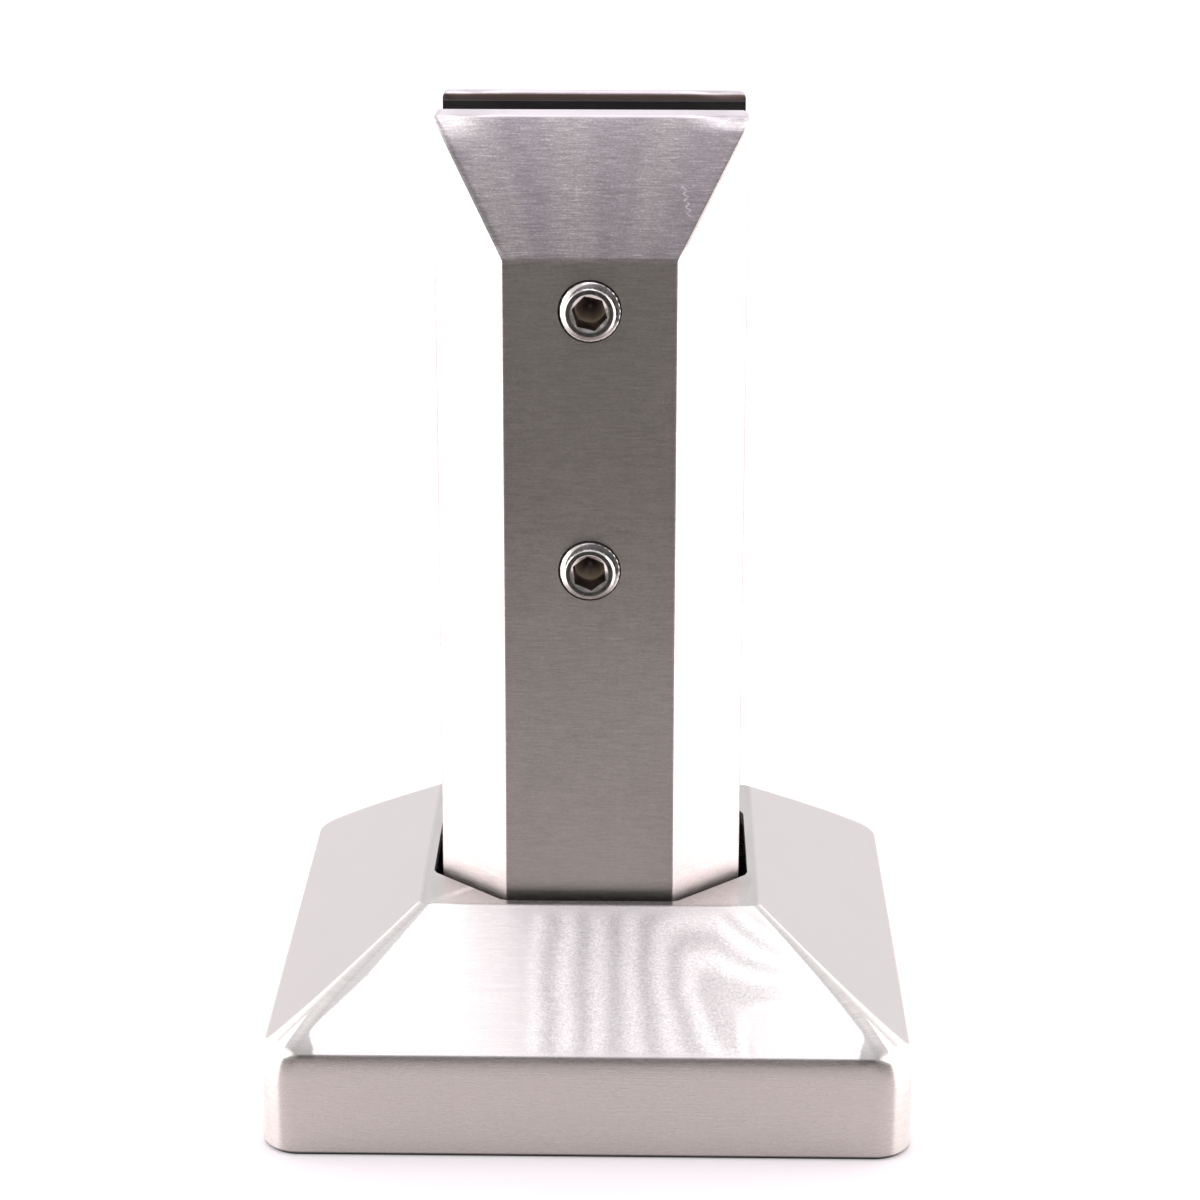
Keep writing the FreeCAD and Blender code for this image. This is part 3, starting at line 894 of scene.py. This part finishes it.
def studio_world(studio):
    """A light tent seen by direction: bright panels at the sides and in the roof, pale cloth above and
    behind, and a dim room in front. A camera sees plain white. A panel's bounds are slopes of the
    direction, such as y over x."""
    world = bpy.data.worlds.new("studio")
    world.use_nodes = True
    shader = Shader(world.node_tree)
    x, y, z = shader.parts(shader.value("TexCoord", output="Generated"))
    across = abs(x)
    aside, above = across.most(0.001), z.most(0.001)
    back_aside, up_aside = y / aside, z / aside
    back_above, across_above = y / above, across / above
    side = back_aside.ease(-0.50, -0.36) * back_aside.ease_off(1.35, 1.8) * up_aside.ease_off(0.60, 0.85)
    roof = back_above.ease(-0.32, -0.12) * back_above.ease_off(0.5, 0.9) * across_above.ease_off(0.26, 0.42)
    seam = abs(x + 0.003).ease(0.026, 0.045, 0.5, 1.0)
    fanned = across * z.ease(0.15, 0.45) * 0.8 + y
    cloth = fanned.ease(-0.30, 0.05) * studio.cloth_light
    back = y.ease(0.45, 0.75) * z.ease(0.10, 0.38) * studio.back_light
    walls = (roof * seam * studio.top_light).most(cloth + back)
    room = shader.blend(z.ramp(0.60, 0.95), rgba(studio.front_low), rgba(studio.front_high))
    panels = shader.tone(rgba(studio.side_colour), side * studio.side_light)
    cloths = shader.tone(rgba(studio.cloth_colour), walls)
    lit = shader.math("MAXIMUM", panels, cloths, kind="VectorMath")
    lit = shader.math("MAXIMUM", lit, room, kind="VectorMath")
    colour = shader.blend(shader.ray("Camera"), lit, WHITE)
    shader.node("OutputWorld", Surface=shader.value("Background", Color=colour, Strength=1.0))
    bpy.context.scene.world = world


def studio_floor(studio):
    """A pale matt floor that ends a little way in front of the spigot. A camera sees it a little brighter,
    so that it is white where nothing shades it. Steel mirrors a pool of light on it at both sides, beyond a
    slanting line from the cover's corners."""
    near, far, side = -studio.floor_front, studio.floor_reach, studio.floor_reach
    corners = [(-side, near, 0.0), (side, near, 0.0), (side, far, 0.0), (-side, far, 0.0)]
    mesh = bpy.data.meshes.new("studio_floor")
    mesh.from_pydata(corners, [], [(0, 1, 2, 3)])
    floor = bpy.data.objects.new("studio_floor", mesh)
    bpy.context.scene.collection.objects.link(floor)
    material, shader = new_material("pale_floor")
    where, x, y, _ = shader.place()
    paper = shader.noise(where, (2.0,) * 3, 3.0)
    mirrored = shader.ray("Glossy")
    tint = shader.blend(mirrored, rgba(studio.floor_colour), rgba(studio.mirrored_colour))
    past_corner = abs(x) * 0.483 + y
    beside = past_corner.ease(-29.5, -26.5) * y.ease_off(20.0, 60.0) * abs(x).ramp(70.0, 115.0, 0.30, 1.0)
    pool = beside.ramp(0.0, 1.0, studio.floor_sheen, studio.floor_pool)
    shader.surface(
        Base_Color=shader.tone(tint, paper.ramp(0.3, 0.7, 0.99, 1.01)), Roughness=0.9, Specular_IOR_Level=0.0,
        Emission_Color=shader.blend(mirrored, WHITE, (1.0, 0.955, 0.93, 1.0)),
        Emission_Strength=shader.ray("Camera") * studio.floor_glow + mirrored * pool)
    mesh.materials.append(material)


def studio_camera(studio):
    """The camera at the photograph's view: rolled, tipped down from level and turned about the upright."""
    data = bpy.data.cameras.new("studio_camera")
    data.sensor_width = 36.0
    data.lens = studio.camera_lens
    data.clip_start = 0.01
    data.clip_end = 20.0
    camera = bpy.data.objects.new("studio_camera", data)
    bpy.context.scene.collection.objects.link(camera)
    pitch, turn, roll = studio.camera_turn
    facing = Matrix.Rotation(turn, 4, "Z") @ Matrix.Rotation(math.pi / 2.0 - pitch, 4, "X")
    camera.matrix_world = Matrix.Translation(studio.camera_place) @ facing @ Matrix.Rotation(roll, 4, "Z")
    bpy.context.scene.camera = camera


class SPIGOT_OT_finish_post(Operator):
    """Give the post with its jaws and base plate its brushed steel"""

    bl_idname = "spigot.finish_post"
    bl_label = "Finish post"

    def execute(self, context):
        dress("spigot_body", post_finish(context.scene.spigot_steel))
        return {"FINISHED"}


class SPIGOT_OT_make_cover(Operator):
    """Build the base cover with its soft corners and polished steel"""

    bl_idname = "spigot.make_cover"
    bl_label = "Make cover"

    def execute(self, context):
        make_cover(context.scene.spigot_cover, cover_finish(context.scene.spigot_steel))
        return {"FINISHED"}


class SPIGOT_OT_make_set_screws(Operator):
    """Build the two threaded set screws in the front jaw"""

    bl_idname = "spigot.make_set_screws"
    bl_label = "Make set screws"

    def execute(self, context):
        screws = context.scene.spigot_screws
        material = screw_finish(screws)
        make_set_screw("upper_set_screw", screws, screws.upper_turn, screws.upper_start, material)
        make_set_screw("lower_set_screw", screws, screws.lower_turn, screws.lower_start, material)
        return {"FINISHED"}


class SPIGOT_OT_finish_clamp(Operator):
    """Give the pressure plate, the gaskets and the seat pad their finishes"""

    bl_idname = "spigot.finish_clamp"
    bl_label = "Finish clamp"

    def execute(self, context):
        clamp = context.scene.spigot_clamp
        dress("pressure_plate", plate_finish(clamp))
        rubber = rubber_finish(clamp)
        for name in ("front_gasket", "rear_gasket", "glass_seat_pad"):
            dress(name, rubber)
        return {"FINISHED"}


class SPIGOT_OT_make_studio(Operator):
    """Set up the floor, the light and the camera"""

    bl_idname = "spigot.make_studio"
    bl_label = "Make studio"

    def execute(self, context):
        studio = context.scene.spigot_studio
        studio_world(studio)
        studio_floor(studio)
        studio_camera(studio)
        context.scene.view_settings.view_transform = "Standard"
        return {"FINISHED"}


class SPIGOT_PT_panel(Panel):
    """Sidebar panel with the spigot's sizes, colours and steps"""

    bl_idname = "SPIGOT_PT_panel"
    bl_label = "Glass railing spigot"
    bl_space_type = "VIEW_3D"
    bl_region_type = "UI"
    bl_category = "Spigot"

    def draw(self, context):
        for name in PROPERTIES:
            group = getattr(context.scene, name)
            box = self.layout.box()
            for key in type(group).__annotations__:
                box.prop(group, key)
        for operator in OPERATORS:
            self.layout.operator(operator.bl_idname)


PROPERTIES = {
    "spigot_steel": SpigotSteel,
    "spigot_cover": SpigotCover,
    "spigot_screws": SpigotScrews,
    "spigot_clamp": SpigotClamp,
    "spigot_studio": SpigotStudio,
}
OPERATORS = (
    SPIGOT_OT_finish_post,
    SPIGOT_OT_make_cover,
    SPIGOT_OT_make_set_screws,
    SPIGOT_OT_finish_clamp,
    SPIGOT_OT_make_studio,
)


def register():
    """Registers the classes and hangs the properties on the scene."""
    for name, group in PROPERTIES.items():
        bpy.utils.register_class(group)
        setattr(bpy.types.Scene, name, PointerProperty(type=group))
    for operator in OPERATORS:
        bpy.utils.register_class(operator)
    bpy.utils.register_class(SPIGOT_PT_panel)


def unregister():
    """Undoes register."""
    bpy.utils.unregister_class(SPIGOT_PT_panel)
    for operator in reversed(OPERATORS):
        bpy.utils.unregister_class(operator)
    for name, group in PROPERTIES.items():
        delattr(bpy.types.Scene, name)
        bpy.utils.unregister_class(group)


def main():
    """Runs every step in order."""
    register()
    bpy.ops.spigot.finish_post()
    bpy.ops.spigot.make_cover()
    bpy.ops.spigot.make_set_screws()
    bpy.ops.spigot.finish_clamp()
    bpy.ops.spigot.make_studio()


if __name__ == "__main__":
    main()
